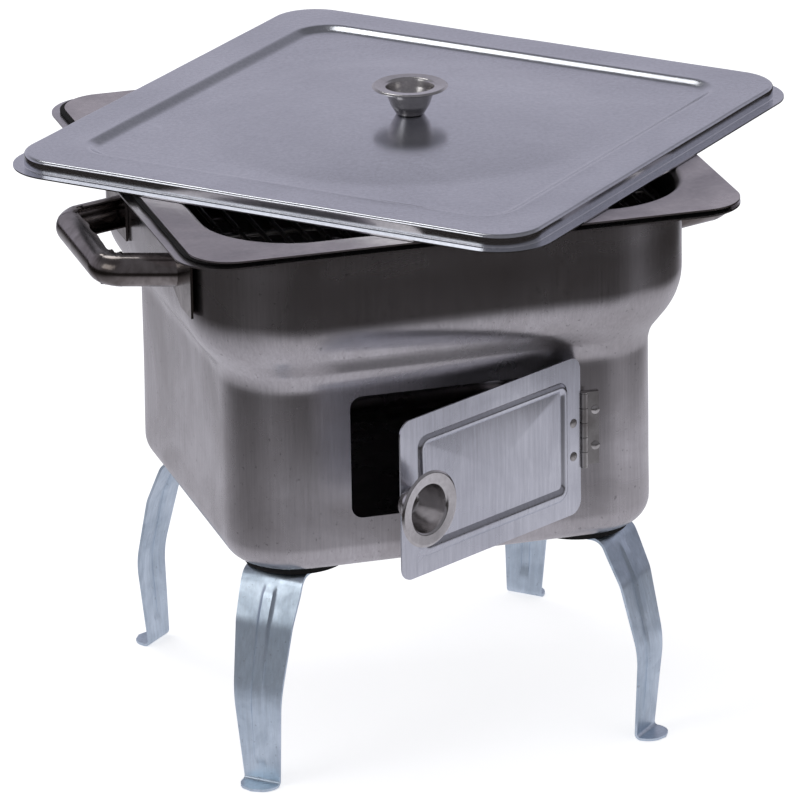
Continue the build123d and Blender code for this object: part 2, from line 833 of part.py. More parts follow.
# Hinge leaves: the wall leaf has the end and middle knuckles, the door leaf those between
wall_knuckles = range(0, knuckles, 2)
door_knuckles = range(1, knuckles, 2)
wall_leaf_seat = Plane(origin=(hinge_x, hinge_y, 0), x_dir=(1, 0, 0), z_dir=(0, -1, 0))
pieces["hinge_wall_leaf"] = make_hinge_leaf(
    wall_leaf_seat, hinge_wall_reach, -lower_half - hinge_y, wall_knuckles,
    wall_rivet_place, wall_rivet_spacing, hinge_z,
)
door_leaf_seat = Plane(
    origin=(hinge_x, hinge_y, 0), x_dir=-door_seat.x_dir, z_dir=door_seat.z_dir
)
pieces["hinge_door_leaf"] = make_hinge_leaf(
    door_leaf_seat, hinge_door_reach, knuckle_radius, door_knuckles,
    door_rivet_place, door_rivet_spacing, door_z - door_rivet_drop,
)
pieces["hinge_door_rivets"] = make_rivets(
    door_rivet_seats, hinge_rivet_radius, door_sheet + hinge_leaf,
    door_rivet_head, door_rivet_head_rise, 0, 0,
)

# The origin goes on the ground under the middle of the whole part
boxes = [piece.part.bounding_box() for piece in pieces.values()]
middle_x = (min(box.min.X for box in boxes) + max(box.max.X for box in boxes)) / 2
middle_y = (min(box.min.Y for box in boxes) + max(box.max.Y for box in boxes)) / 2

for name, piece in pieces.items():
    placed = piece.part.moved(Location((-middle_x, -middle_y, 0)))
    placed.label = name
    export_step(placed, "parts/" + name + ".step")
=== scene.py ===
# %% [markdown]
# # A square sheet metal barbecue
# The construction model gives every piece, its place and its joints. This lesson dresses it:
# thin drawn steel, a folded lid, bent strip legs, riveted knobs and welded handles. The
# large pieces are worked out again as smooth surfaces with the slight waves of thin sheet,
# and the small ones keep their construction mesh and get a finish.

import bmesh
import bpy
import numpy as np
from mathutils import Matrix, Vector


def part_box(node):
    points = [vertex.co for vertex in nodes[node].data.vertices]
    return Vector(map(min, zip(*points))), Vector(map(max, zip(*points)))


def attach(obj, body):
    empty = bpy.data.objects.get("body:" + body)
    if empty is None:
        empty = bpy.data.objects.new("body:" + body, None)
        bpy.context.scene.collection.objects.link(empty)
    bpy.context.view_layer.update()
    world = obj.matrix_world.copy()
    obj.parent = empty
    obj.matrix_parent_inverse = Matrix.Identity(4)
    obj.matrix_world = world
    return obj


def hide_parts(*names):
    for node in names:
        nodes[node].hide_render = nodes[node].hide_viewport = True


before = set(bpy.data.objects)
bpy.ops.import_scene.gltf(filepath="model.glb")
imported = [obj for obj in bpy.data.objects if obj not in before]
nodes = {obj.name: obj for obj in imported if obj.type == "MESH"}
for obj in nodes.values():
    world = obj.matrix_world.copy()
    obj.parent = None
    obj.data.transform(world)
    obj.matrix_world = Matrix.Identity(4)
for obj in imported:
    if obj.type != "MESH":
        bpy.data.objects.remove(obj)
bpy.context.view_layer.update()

# %% [markdown]
# Every length below is written in millimetres from the body's own upright axis, because
# that is how the real thing is measured. The axis stands in the middle of the rim's seal.

# %% The body's axis
MM = 0.001
seal_low, seal_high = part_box("rim_gasket")
AXIS = np.array([(seal_low.x + seal_high.x) / 2, (seal_low.y + seal_high.y) / 2, 0.0])
print("body axis at", AXIS.round(5))

# %% [markdown]
# ## Camera
# The photograph was taken with a long lens from about four metres, a little to the left of
# the door and twenty degrees above it. The camera's right, up and back directions are
# worked out from those angles, and a slight roll turns the first two about the third.

# %% Camera
turn, rise, roll = np.radians([-16.47, 20.04, -0.90])
back = np.array([np.sin(turn) * np.cos(rise), -np.cos(turn) * np.cos(rise), np.sin(rise)])
level_right = np.array([np.cos(turn), np.sin(turn), 0.0])
level_up = np.cross(back, level_right)
right = np.cos(roll) * level_right + np.sin(roll) * level_up
up = -np.sin(roll) * level_right + np.cos(roll) * level_up
stand = AXIS + MM * (np.array([-1133.6, -3852.6, 1644.9]) - 1.1 * right)
camera = bpy.data.objects.new("camera", bpy.data.cameras.new("camera"))
camera.data.lens = 329.9
camera.data.sensor_width = 36.0
camera.data.clip_start, camera.data.clip_end = 0.1, 100.0
placed = np.eye(4)
placed[:3, :3] = np.stack([right, up, back], axis=1)
placed[:3, 3] = stand
camera.matrix_world = Matrix(placed.tolist())
bpy.context.scene.collection.objects.link(camera)
bpy.context.scene.camera = camera
bpy.context.scene.view_settings.view_transform = "Standard"
print("camera stands at", stand.round(3))

# %% [markdown]
# ## Small tools
# Colours are written as screen colours, and the shader wants linear light, so one function
# turns one into the other. A second one adds a shader node, sets its sockets and links it.

# %% Colour and node helpers
def linear(text):
    """A hex screen colour as linear light: the sRGB curve undone for each channel."""
    value = np.array([int(text[start:start + 2], 16) for start in (1, 3, 5)]) / 255
    value = np.where(value <= 0.04045, value / 12.92, ((value + 0.055) / 1.055) ** 2.4)
    return (*value.tolist(), 1.0)


def add(tree, kind, inputs=None, **settings):
    """Add one shader node, set its properties, and set or link its input sockets."""
    node = tree.nodes.new("ShaderNode" + kind)
    for name, value in settings.items():
        setattr(node, name, value)
    for name, value in (inputs or {}).items():
        if isinstance(value, bpy.types.NodeSocket):
            tree.links.new(value, node.inputs[name])
        else:
            node.inputs[name].default_value = value
    return node


def blank_material(name):
    """A new material with an empty node tree and an output node."""
    material = bpy.data.materials.new(name)
    material.use_nodes = True
    material.node_tree.nodes.clear()
    output = add(material.node_tree, "OutputMaterial")
    return material, material.node_tree, output


print("mid grey in linear light", round(linear("#808080")[0], 3))

# %% [markdown]
# ## Floor
# The barbecue stands on a sheet of pale paper in a darker studio. Polished metal is mostly
# a picture of what is round it, so the paper's edges matter: seen in the metal, the paper
# fades to dark in front of the door, at its right, and more slowly at its left. To the
# camera the floor is white, and it still takes the soft shadow under the feet.

# %% Floor
floor_mesh = bpy.data.meshes.new("floor")
reach = 8.0
floor_mesh.from_pydata(
    [(-reach, -reach, 0), (reach, -reach, 0), (reach, reach, 0), (-reach, reach, 0)],
    [], [(0, 1, 2, 3)],
)
floor = bpy.data.objects.new("floor", floor_mesh)
bpy.context.scene.collection.objects.link(floor)

# Where the mirrored paper fades out, in metres: dark at the first place, paper at the second
front_fade, right_fade, left_fade = (-0.78, -0.40), (0.78, 0.66), (-0.95, -0.10)
paper, tree, output = blank_material("studio_paper")
place = add(tree, "SeparateXYZ", {0: add(tree, "NewGeometry").outputs["Position"]})
path = add(tree, "LightPath")
soft = {"interpolation_type": "SMOOTHSTEP"}
front_edge = add(tree, "MapRange", {
    "Value": place.outputs["Y"], "From Min": front_fade[0], "From Max": front_fade[1]}, **soft)
right_edge = add(tree, "MapRange", {
    "Value": place.outputs["X"], "From Min": right_fade[0], "From Max": right_fade[1]}, **soft)
left_edge = add(tree, "MapRange", {
    "Value": place.outputs["X"], "From Min": left_fade[0], "From Max": left_fade[1]}, **soft)
sides = add(tree, "Math", {0: right_edge.outputs[0], 1: left_edge.outputs[0]}, operation="MULTIPLY")
inside = add(tree, "Math", {0: sides.outputs[0], 1: front_edge.outputs[0]}, operation="MULTIPLY")
seen = add(tree, "Mix", {
    "Factor": inside.outputs[0], "A": linear("#2c2826"), "B": linear("#cfced6")}, data_type="RGBA")
mirrored = add(tree, "Emission", {"Color": seen.outputs["Result"]})
lit = add(tree, "BsdfDiffuse", {"Color": linear("#f4f4f4")})
glow = add(tree, "Emission", {"Color": (1, 1, 1, 1), "Strength": 0.62})
white = add(tree, "AddShader", {0: lit.outputs[0], 1: glow.outputs[0]})
plain = add(tree, "MixShader", {
    0: path.outputs["Is Camera Ray"], 1: lit.outputs[0], 2: white.outputs[0]})
shown = add(tree, "MixShader", {
    0: path.outputs["Is Glossy Ray"], 1: plain.outputs[0], 2: mirrored.outputs[0]})
tree.links.new(shown.outputs[0], output.inputs["Surface"])
floor_mesh.materials.append(paper)
print("mirrored paper fades out in front, right and left at", front_fade, right_fade, left_fade)

# %% [markdown]
# ## Studio light
# Soft light comes from all round. A large softbox hangs behind and above the barbecue, and a
# second one stands at the left. The metal sees the paper sweep up at the back as a pale
# lavender, and a mid-grey room overhead and behind the camera.

# %% World
world = bpy.data.worlds.new("studio")
bpy.context.scene.world = world
world.use_nodes = True
tree = world.node_tree
tree.nodes.clear()
output = add(tree, "OutputWorld")
way = add(tree, "SeparateXYZ", {0: add(tree, "TexCoord").outputs["Generated"]})
path = add(tree, "LightPath")
height = add(tree, "MapRange", {
    "Value": way.outputs["Z"], "From Min": 0.30, "From Max": 0.72}, **soft)
behind = add(tree, "MapRange", {
    "Value": way.outputs["Y"], "From Min": -0.25, "From Max": 0.55}, **soft)
sweep = add(tree, "Mix", {
    "Factor": height.outputs[0], "A": linear("#bcbac8"), "B": linear("#6c6c72")}, data_type="RGBA")
room = add(tree, "Mix", {
    "Factor": behind.outputs[0], "A": linear("#7d7c82"), "B": sweep.outputs["Result"]},
    data_type="RGBA")
mirrored = add(tree, "Background", {"Color": room.outputs["Result"]})
fill = add(tree, "Background", {"Color": linear("#e9eaef"), "Strength": 0.62})
white = add(tree, "Background", {"Color": (1, 1, 1, 1)})
around = add(tree, "MixShader", {
    0: path.outputs["Is Glossy Ray"], 1: fill.outputs[0], 2: mirrored.outputs[0]})
shown = add(tree, "MixShader", {
    0: path.outputs["Is Camera Ray"], 1: around.outputs[0], 2: white.outputs[0]})
tree.links.new(shown.outputs[0], output.inputs["Surface"])
print("the world has", len(tree.nodes), "nodes")


# %% Lamps
def softbox(name, place_mm, aim_mm, size, power):
    """A square area lamp at a place, turned so that its back points away from its aim."""
    lamp = bpy.data.objects.new(name, bpy.data.lights.new(name, "AREA"))
    lamp.data.shape, lamp.data.size, lamp.data.energy = "SQUARE", size, power
    away = np.array(place_mm, float) - np.array(aim_mm, float)
    away /= np.linalg.norm(away)
    across = np.cross((0.0, 0.0, 1.0), away)
    across /= np.linalg.norm(across)
    matrix = np.eye(4)
    matrix[:3, :3] = np.stack([across, np.cross(away, across), away], axis=1)
    matrix[:3, 3] = AXIS + MM * np.array(place_mm, float)
    lamp.matrix_world = Matrix(matrix.tolist())
    bpy.context.scene.collection.objects.link(lamp)
    return lamp


softbox("softbox_behind", (-420, 1150, 2250), (0, 0, 300), 0.8, 6.0)
softbox("softbox_left", (-2300, -700, 1500), (0, 0, 250), 1.2, 8.0)

# %% [markdown]
# ## Finishes
# All the sheet is steel, so one recipe makes every metal finish and its numbers tell them
# apart: the colour that the metal gives its reflections, how rough it is, the direction of
# the fine lines that rolling and brushing leave, soft smudges from handling, and specks.
# Lines finer than a tenth of a millimetre don't show, so they are drawn a little coarser.

# %% The metal recipe
def metal(name, pale, dark, rough, lines=(900, 900, 40), depth=0.02, smudge=0.06, speck=0.0,
          cloud=14.0):
    """Steel whose colour runs between two hex tones by stretched noise, with bump and smudges.

    lines gives how often the fine lines repeat per metre along each axis, depth their bump
    in millimetres, smudge how much the roughness wanders and speck how dark the specks are.
    """
    material, tree, output = blank_material(name)
    spot = add(tree, "TexCoord").outputs["Object"]
    stretched = add(tree, "Mapping", {"Vector": spot, "Scale": lines})
    brushed = add(tree, "TexNoise", {
        "Vector": stretched.outputs[0], "Scale": 1.0, "Detail": 3.0, "Roughness": 0.65})
    clouds = add(tree, "TexNoise", {
        "Vector": spot, "Scale": cloud, "Detail": 5.0, "Roughness": 0.62, "Distortion": 0.6})
    blend = add(tree, "MapRange", {
        "Value": clouds.outputs["Fac"], "From Min": 0.36, "From Max": 0.66})
    tone = add(tree, "Mix", {
        "Factor": blend.outputs[0], "A": linear(dark), "B": linear(pale)}, data_type="RGBA")
    streak = add(tree, "MapRange", {
        "Value": brushed.outputs["Fac"], "From Min": 0.3, "From Max": 0.7,
        "To Min": 0.90, "To Max": 1.06})
    shade = add(tree, "Mix", {
        "Factor": 1.0, "A": tone.outputs["Result"], "B": streak.outputs[0]},
        data_type="RGBA", blend_type="MULTIPLY")
    base = shade.outputs["Result"]
    if speck:
        grains = add(tree, "TexNoise", {
            "Vector": spot, "Scale": 330.0, "Detail": 2.0, "Roughness": 0.7})
        dots = add(tree, "MapRange", {
            "Value": grains.outputs["Fac"], "From Min": 0.66, "From Max": 0.72,
            "To Min": 0.0, "To Max": speck})
        dotted = add(tree, "Mix", {
            "Factor": dots.outputs[0], "A": base, "B": linear("#2b2827")}, data_type="RGBA")
        base = dotted.outputs["Result"]
    wander = add(tree, "MapRange", {
        "Value": clouds.outputs["Fac"], "From Min": 0.3, "From Max": 0.7,
        "To Min": rough + smudge, "To Max": rough - smudge})
    relief = add(tree, "Bump", {
        "Height": brushed.outputs["Fac"], "Strength": 0.5, "Distance": depth * MM})
    shader = add(tree, "BsdfPrincipled", {
        "Base Color": base, "Metallic": 1.0, "Roughness": wander.outputs[0],
        "Normal": relief.outputs[0]})
    tree.links.new(shader.outputs[0], output.inputs["Surface"])
    return material


# Stainless sheet, cold rolled and brushed upright before drawing: grey with vertical streaks
drawn_stainless = metal("drawn_stainless_sheet", "#c9c6c8", "#b5b1b2", 0.27, (700, 700, 26), 0.03,
                        0.05, speck=0.35)
# Stainless sheet with its mill gloss, for the lid: cooler, smoother, a soft mirror
lid_stainless = metal("mill_gloss_stainless_sheet", "#d3d5da", "#c6c8ce", 0.20, (420, 420, 420),
                      0.006, 0.04, cloud=6.0)
# Stainless sheet with its mill gloss, for the fire pan: fingerprints and a warm heat tint
pan_stainless = metal("heat_tinted_stainless_sheet", "#c9c2c0", "#a9a3a6", 0.32, (300, 300, 300),
                      0.01, 0.08)
# Galvanised cover sheet for the door: paler and bluer, faint upright rolling lines
door_sheet_metal = metal("rolled_door_sheet", "#dddfe6", "#cfd1d9", 0.24, (500, 500, 30), 0.02, 0.05)
# Spun and polished steel cups for the knobs: nearly a mirror, with turning rings too fine to see
knob_steel = metal("polished_knob_steel", "#dad8d8", "#c6c3c2", 0.22, (300, 300, 300), 0.008, 0.05)
# Oxide-blackened steel, oiled, for the handles: brown-black with a sharp wet shine
black_steel = metal("oil_blackened_steel", "#a39d9b", "#665f5b", 0.20, (260, 260, 260), 0.03, 0.06,
                    cloud=30.0)
# Zinc-plated strip for the legs: bluish, soft shine with a mottled bloom
zinc = metal("bright_zinc_plate", "#dceaf6", "#c4d3e0", 0.38, (500, 500, 40), 0.03, 0.08, speck=0.2,
             cloud=40.0)
# Rolled mild steel for the hinge and the rivets, lighter and darker in patches
hinge_steel = metal("rolled_hinge_steel", "#c8c6c4", "#9b9794", 0.33, (400, 400, 60), 0.03, 0.08,
                    cloud=60.0)
# Drawn iron wire for the grid, nickel-bright
grid_wire = metal("drawn_bright_wire", "#c4c2bf", "#9f9c99", 0.25, (600, 600, 600), 0.01, 0.05)
# Nickelled brass rivets for the knobs: a warm brown head
rivet_brass = metal("aged_nickelled_brass", "#9c8a76", "#6f5f50", 0.30, (300, 300, 300), 0.01, 0.06)
print("a metal finish has", len(drawn_stainless.node_tree.nodes), "nodes")

# %% [markdown]
# The seal under the fire pan and the discs over the legs are pressed heat-proof fibre. It is
# black with flecks and a felted surface, and gives back hardly any shine.

# %% Heat-proof fibre
fibre, tree, output = blank_material("pressed_heat_proof_fibre")
spot = add(tree, "TexCoord").outputs["Object"]
felt = add(tree, "TexNoise", {"Vector": spot, "Scale": 900.0, "Detail": 4.0, "Roughness": 0.7})
fleck = add(tree, "MapRange", {"Value": felt.outputs["Fac"], "From Min": 0.45, "From Max": 0.75})
tone = add(tree, "Mix", {
    "Factor": fleck.outputs[0], "A": linear("#0c0c0c"), "B": linear("#2a2929")}, data_type="RGBA")
relief = add(tree, "Bump", {"Height": felt.outputs["Fac"], "Strength": 0.6, "Distance": 0.2 * MM})
shader = add(tree, "BsdfPrincipled", {
    "Base Color": tone.outputs["Result"], "Roughness": 0.9, "Normal": relief.outputs[0]})
tree.links.new(shader.outputs[0], output.inputs["Surface"])

# %% [markdown]
# ## Surfaces from grids
# Thin sheet bends only along lines and round corners, so each large piece is a grid: its
# rows follow the section from edge to edge, and its columns go round the piece. The grid of
# points becomes a mesh in one go, and a modifier gives the sheet its thickness.

# %% From a grid of points to a mesh
def skin(name, points, finish, body, around=True, closed=False, flip=False):
    """A smooth mesh over a grid of points in millimetres, rows by columns by three.

    around joins the last column to the first, closed joins the last row to the first, and
    flip turns the faces over. Points that fall together, as at a pole, become one.
    """
    rows, columns = points.shape[:2]
    index = np.arange(rows * columns).reshape(rows, columns)
    if around:
        index = np.concatenate([index, index[:, :1]], axis=1)
    if closed:
        index = np.concatenate([index, index[:1]], axis=0)
    quads = np.stack(
        [index[:-1, :-1], index[:-1, 1:], index[1:, 1:], index[1:, :-1]], axis=-1
    ).reshape(-1, 4)
    if flip:
        quads = quads[:, ::-1]
    mesh = bpy.data.meshes.new(name)
    mesh.from_pydata((AXIS + MM * points.reshape(-1, 3)).tolist(), [], quads.tolist())
    work = bmesh.new()
    work.from_mesh(mesh)
    bmesh.ops.remove_doubles(work, verts=work.verts, dist=2e-6)
    work.to_mesh(mesh)
    work.free()
    mesh.shade_smooth()
    mesh.materials.append(finish)
    piece = bpy.data.objects.new(name, mesh)
    bpy.context.scene.collection.objects.link(piece)
    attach(piece, body)
    return piece


def thicken(piece, thickness, sharp=35.0):
    """Give a sheet its thickness on the side away from its outside, and keep its edges crisp."""
    wall = piece.modifiers.new("thickness", "SOLIDIFY")
    wall.thickness, wall.offset = thickness * MM, -1.0
    solid = bpy.data.meshes.new_from_object(
        piece.evaluated_get(bpy.context.evaluated_depsgraph_get()))
    piece.modifiers.clear()
    solid.name = piece.data.name
    piece.data = solid
    solid.set_sharp_from_angle(angle=np.radians(sharp))
    spread = np.array([v[:] for v in piece.bound_box]) / MM
    print(piece.name, len(solid.polygons), "faces,", np.ptp(spread, axis=0).round(1), "mm")
    return piece


# %% [markdown]
# A drawn piece keeps rounded corners at every height. A point of such an outline is the
# corner's centre plus the corner's radius along the outward direction, and on a straight
# side the centre moves from one corner to the next while the direction stays. So the whole
# family of nested outlines comes from two fixed arrays.

# %% Nested outlines and bent sections
def square_ring(side_steps, corner_steps):
    """Where each point's corner centre lies on a unit square, and its outward direction."""
    corner = np.arange(4)[:, None]
    angle = (corner + np.linspace(0, 1, corner_steps + 1)) * np.pi / 2
    way = np.stack([np.cos(angle), np.sin(angle)], axis=-1)
    middle = (corner + 0.5) * np.pi / 2 + 0 * angle
    centre = np.sqrt(2) * np.stack([np.cos(middle), np.sin(middle)], axis=-1)
    share = np.linspace(0, 1, side_steps + 1)[1:-1, None]
    side_centre = centre[:, -1:] * (1 - share) + np.roll(centre, -1, axis=0)[:, :1] * share
    side_way = np.repeat(way[:, -1:], side_steps - 1, axis=1)
    return (np.concatenate([centre, side_centre], axis=1).reshape(-1, 2),
            np.concatenate([way, side_way], axis=1).reshape(-1, 2))


def nested(ring, half_x, half_y, corner, middle_x=0.0, middle_y=0.0):
    """Rounded rectangles, one row each: centre distance times the ring plus radius times its way."""
    centre, way = ring
    half_x, half_y, corner, middle_x, middle_y = np.broadcast_arrays(
        *[np.asarray(v, float) for v in (half_x, half_y, corner, middle_x, middle_y)])
    x = middle_x[:, None] + (half_x - corner)[:, None] * centre[:, 0] + corner[:, None] * way[:, 0]
    y = middle_y[:, None] + (half_y - corner)[:, None] * centre[:, 1] + corner[:, None] * way[:, 1]
    return x, y


def bent(points, radii, arc_steps=8, step=4.0):
    """A section line with each inner corner rounded by an arc, then points every step or so.

    The arc's centre lies on the corner's bisector, its radius over the sine of half the
    angle away, and the arc turns evenly from one touching point to the other.
    """
    points, radii = np.array(points, float), np.array(radii, float)[:, None]
    before, here, after = points[:-2], points[1:-1], points[2:]
    back_way = (before - here) / np.linalg.norm(before - here, axis=1, keepdims=True)
    next_way = (after - here) / np.linalg.norm(after - here, axis=1, keepdims=True)
    half_angle = np.arccos(np.sum(back_way * next_way, axis=1, keepdims=True)) / 2
    bisector = back_way + next_way
    bisector /= np.linalg.norm(bisector, axis=1, keepdims=True)
    centre = here + bisector * radii / np.sin(half_angle)
    first = here + back_way * radii / np.tan(half_angle) - centre
    last = here + next_way * radii / np.tan(half_angle) - centre
    sweep_angle = np.pi - 2 * half_angle
    share = np.linspace(0, 1, arc_steps + 1)[None, :, None]
    arcs = centre[:, None] + (
        first[:, None] * np.sin((1 - share) * sweep_angle[:, None])
        + last[:, None] * np.sin(share * sweep_angle[:, None])) / np.sin(sweep_angle[:, None])
    line = np.concatenate([points[:1], arcs.reshape(-1, 2), points[-1:]])
    length = np.concatenate([[0], np.cumsum(np.linalg.norm(np.diff(line, axis=0), axis=1))])
    stops = np.unique(np.concatenate([length, np.arange(0, length[-1], step)]).round(4))
    return np.stack([np.interp(stops, length, line[:, 0]), np.interp(stops, length, line[:, 1])], 1)


def ripple(x, y, amount, wave, seed):
    """The slight waves of thin sheet: five sine waves in seeded directions, added up."""
    chance = np.random.default_rng(seed)
    angle, phase = chance.uniform(0, 2 * np.pi, (2, 5))
    length = wave * chance.uniform(0.7, 1.6, 5)
    along = x[..., None] * np.cos(angle) + y[..., None] * np.sin(angle)
    return amount * np.sin(2 * np.pi * along / length + phase).sum(-1) / 5


ring = square_ring(30, 16)
print("points round an outline:", len(ring[0]))

# %% [markdown]
# ## The body
# The body is one bowl drawn from a square blank: a flat bottom, an upright lower wall, a
# shoulder, a wider collar and a flat rim. It could be cut from a block of volume and
# hollowed, but carrying its section round the outline keeps every bend as smooth as a
# press leaves it. The corner centres stay on four upright lines up to the rim.

# %% Body sizes
sheet = 1.0
bottom_z, rim_z = 127.5, 330.6
rim_half, rim_corner = 165.0, 29.0
collar_half, lower_half, corner_line = 146.0, 126.5, 84.5
shoulder_z, shoulder_slope = 236.5, np.radians(38.0)
bottom_bend, lower_bend, upper_bend, rim_bend = 15.0, 22.0, 40.0, 3.0
inner_corner, rim_edge = 2.0, 9.0
mean_reach, wave_depth = 130.0, 0.22
lower_turn_z = shoulder_z + lower_bend * np.tan(shoulder_slope / 2)
upper_turn_z = lower_turn_z + (collar_half - lower_half) / np.tan(shoulder_slope)
print("shoulder bends at", round(lower_turn_z, 1), "and", round(upper_turn_z, 1))

# %% Body surface
inner_half, outer_half = corner_line + inner_corner, rim_half - rim_edge
wall = bent(
    [(inner_half, bottom_z), (lower_half, bottom_z), (lower_half, lower_turn_z),
     (collar_half, upper_turn_z), (collar_half, rim_z - sheet), (outer_half, rim_z - sheet)],
    [bottom_bend, lower_bend, upper_bend, rim_bend], arc_steps=10, step=5.0)
floor_share = np.linspace(0, 1, 7)[:-1]
rim_share = np.linspace(0, 1, 4)[1:]
half = np.concatenate([floor_share * inner_half, wall[:, 0], outer_half + rim_edge * rim_share])
corner = np.concatenate([
    floor_share * inner_corner, wall[:, 0] - corner_line,
    (outer_half - corner_line) * (1 - rim_share) + rim_corner * rim_share])
height = np.concatenate([
    np.full(len(floor_share), bottom_z), wall[:, 1], np.full(len(rim_share), rim_z - sheet)])
x, y = nested(ring, half, half, corner)
z = height[:, None] + 0 * x
round_way = np.arctan2(y, x) * mean_reach
# The waves grow over 20 mm above the bottom bend and die out over 12 mm below the rim
inward = np.clip((z - 150) / 20, 0, 1) * np.clip((322 - z) / 12, 0, 1)
dent = -inward * (wave_depth + ripple(round_way, z, wave_depth, 70, 3))
x, y = x + dent * ring[1][:, 0], y + dent * ring[1][:, 1]
body_wall = skin("body_wall", np.stack([x, y, z], -1), drawn_stainless, "base")
thicken(body_wall, sheet)
print("waves reach", round(float(-dent.min()), 2), "mm inwards")

# %% [markdown]
# The door opening is punched through the front of the lower wall. A punch with rounded
# corners is made in the same way as the wall, a Boolean modifier cuts with it, and both the
# modifier and the punch are gone once the cut is in the mesh.

# %% Door opening
opening_z, opening_half_x, opening_half_z, opening_corner = 196.0, 62.5, 36.5, 7.0
punch_x, punch_z = nested(
    square_ring(6, 8), [opening_half_x] * 2, [opening_half_z] * 2, [opening_corner] * 2)
punch_y = np.array([-150.0, -105.0])[:, None] + 0 * punch_x
sides_count = punch_x.shape[1]
punch_points = AXIS + MM * np.stack([punch_x, punch_y, punch_z + opening_z], -1).reshape(-1, 3)
index = np.arange(sides_count)
after = np.roll(index, -1)
punch_faces = np.stack([index, after, after + sides_count, index + sides_count], 1).tolist()
punch_faces += [index[::-1].tolist(), (index + sides_count).tolist()]
punch_mesh = bpy.data.meshes.new("punch")
punch_mesh.from_pydata(punch_points.tolist(), [], punch_faces)
work = bmesh.new()
work.from_mesh(punch_mesh)
bmesh.ops.recalc_face_normals(work, faces=work.faces)
work.to_mesh(punch_mesh)
work.free()
punch = bpy.data.objects.new("punch", punch_mesh)
bpy.context.scene.collection.objects.link(punch)
cut = body_wall.modifiers.new("opening", "BOOLEAN")
cut.object, cut.operation, cut.solver = punch, "DIFFERENCE", "EXACT"
opened = bpy.data.meshes.new_from_object(
    body_wall.evaluated_get(bpy.context.evaluated_depsgraph_get()))
body_wall.modifiers.clear()
body_wall.data = opened
opened.set_sharp_from_angle(angle=np.radians(35.0))
bpy.data.objects.remove(punch)
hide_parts("body_shell")
print("body faces after the cut:", len(opened.polygons))

# %% [markdown]
# ## The seal
# A strip of fibre lies on the rim under the fire pan's flange. It is cut by hand, so its
# edge wanders a little. Its section is closed, so the rows are joined up as well.

# %% Seal on the rim
seal_inner, seal_outer, seal_corner, seal_thickness = 149.5, 160.0, 24.5, 2.6
worn_x, worn_z = 0.6, 0.7
edge = np.array([
    [seal_inner, 0], [seal_outer - worn_x, 0], [seal_outer, worn_z],
    [seal_outer, seal_thickness - worn_z], [seal_outer - worn_x, seal_thickness],
    [seal_inner, seal_thickness]])
share = (edge[:, 0] - seal_inner) / (seal_outer - seal_inner)
corner = (seal_inner - corner_line) * (1 - share) + seal_corner * share
x, y = nested(ring, edge[:, 0], edge[:, 0], corner)
wander = share[:, None] * ripple(x, y, 0.5, 45, 8)
x, y = x + wander * ring[1][:, 0], y + wander * ring[1][:, 1]
z = rim_z + edge[:, 1:] + 0 * x
seal = skin("rim_seal", np.stack([x, y, z], -1), fibre, "base", closed=True)
seal.data.set_sharp_from_angle(angle=np.radians(50.0))
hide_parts("rim_gasket")
print("seal", seal_thickness, "mm thick and", seal_outer - seal_inner, "mm wide")

# %% [markdown]
# ## The lid
# The lid is a folded tray turned over: a lip all round, a low skirt, a flat band, and a sunk
# panel that is pressed up into a low crown in its middle. It lies askew on the fire pan, so
# its points are turned about its own centre before they are moved into place.

# %% Lid sizes
lid_x, lid_y, lid_z = 17.5, 30.2, 334.5
lid_turn = np.radians(-46.0)
lid_half, lid_corner, lid_height = 166.5, 26.0, 8.5
recess_half, recess_corner, recess_depth, recess_slope = 139.4, 22.7, 3.0, 6.0
lid_sheet, lid_lip, panel_rim, panel_corner = 0.8, 6.5, 14.0, 12.0
panel_bend, recess_bend, edge_bend, lip_bend = 10.0, 8.0, 2.0, 0.8
crown_radius, crown_rise = 120.0, 4.1
crown_ball = (crown_radius**2 + crown_rise**2) / (2 * crown_rise)
print("the crown is part of a ball of", round(crown_ball), "mm radius")

# %% Lid surface
floor_z = lid_height - recess_depth
flat_half, panel_half, lip_half = recess_half - panel_rim, recess_half - recess_slope, lid_half + lid_lip
fold = bent(
    [(flat_half, floor_z), (panel_half, floor_z), (recess_half, lid_height),
     (lid_half, lid_height), (lid_half, lid_sheet), (lip_half, lid_sheet)],
    [panel_bend, recess_bend, edge_bend, lip_bend], arc_steps=8, step=6.0)
panel_share = np.linspace(0, 1, 26)[:-1]
half = np.concatenate([panel_share * flat_half, fold[:, 0]])
corner = np.interp(
    half, [0, flat_half, panel_half, recess_half, lid_half, lip_half],
    [0, panel_corner, recess_corner - recess_slope, recess_corner, lid_corner, lid_corner + lid_lip])
x, y = nested(ring, half, half, corner)
height = np.concatenate([np.full(len(panel_share), floor_z), fold[:, 1]])
apart = np.hypot(x, y)
crown = np.where(
    (apart < crown_radius) & (height[:, None] < floor_z + 0.1),
    np.sqrt(np.maximum(crown_ball**2 - apart**2, 0)) - (crown_ball - crown_rise), 0.0)
inner = np.clip((170 - apart) / 60, 0, 1) * np.clip((recess_half - half) / 20, 0, 1)[:, None]
z = height[:, None] + np.maximum(crown, 0) + inner * ripple(x, y, 0.10, 110, 21)
band_wave = np.clip((half - recess_half) / 4, 0, 1) * np.clip((lid_half + 2 - half) / 4, 0, 1)
z = z - band_wave[:, None] * (0.25 + ripple(x, y, 0.25, 60, 5))
turned_x = lid_x + x * np.cos(lid_turn) - y * np.sin(lid_turn)
turned_y = lid_y + x * np.sin(lid_turn) + y * np.cos(lid_turn)
lid = skin("lid_tray", np.stack([turned_x, turned_y, lid_z + z], -1), lid_stainless, "lid",
           flip=True)
thicken(lid, lid_sheet)
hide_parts("lid_panel")

# %% [markdown]
# ## Turned pieces
# A knob is spun from a disc, so a section line goes once round its own axis. The seat gives
# that axis: a point and three directions, the last of them out of the seat.

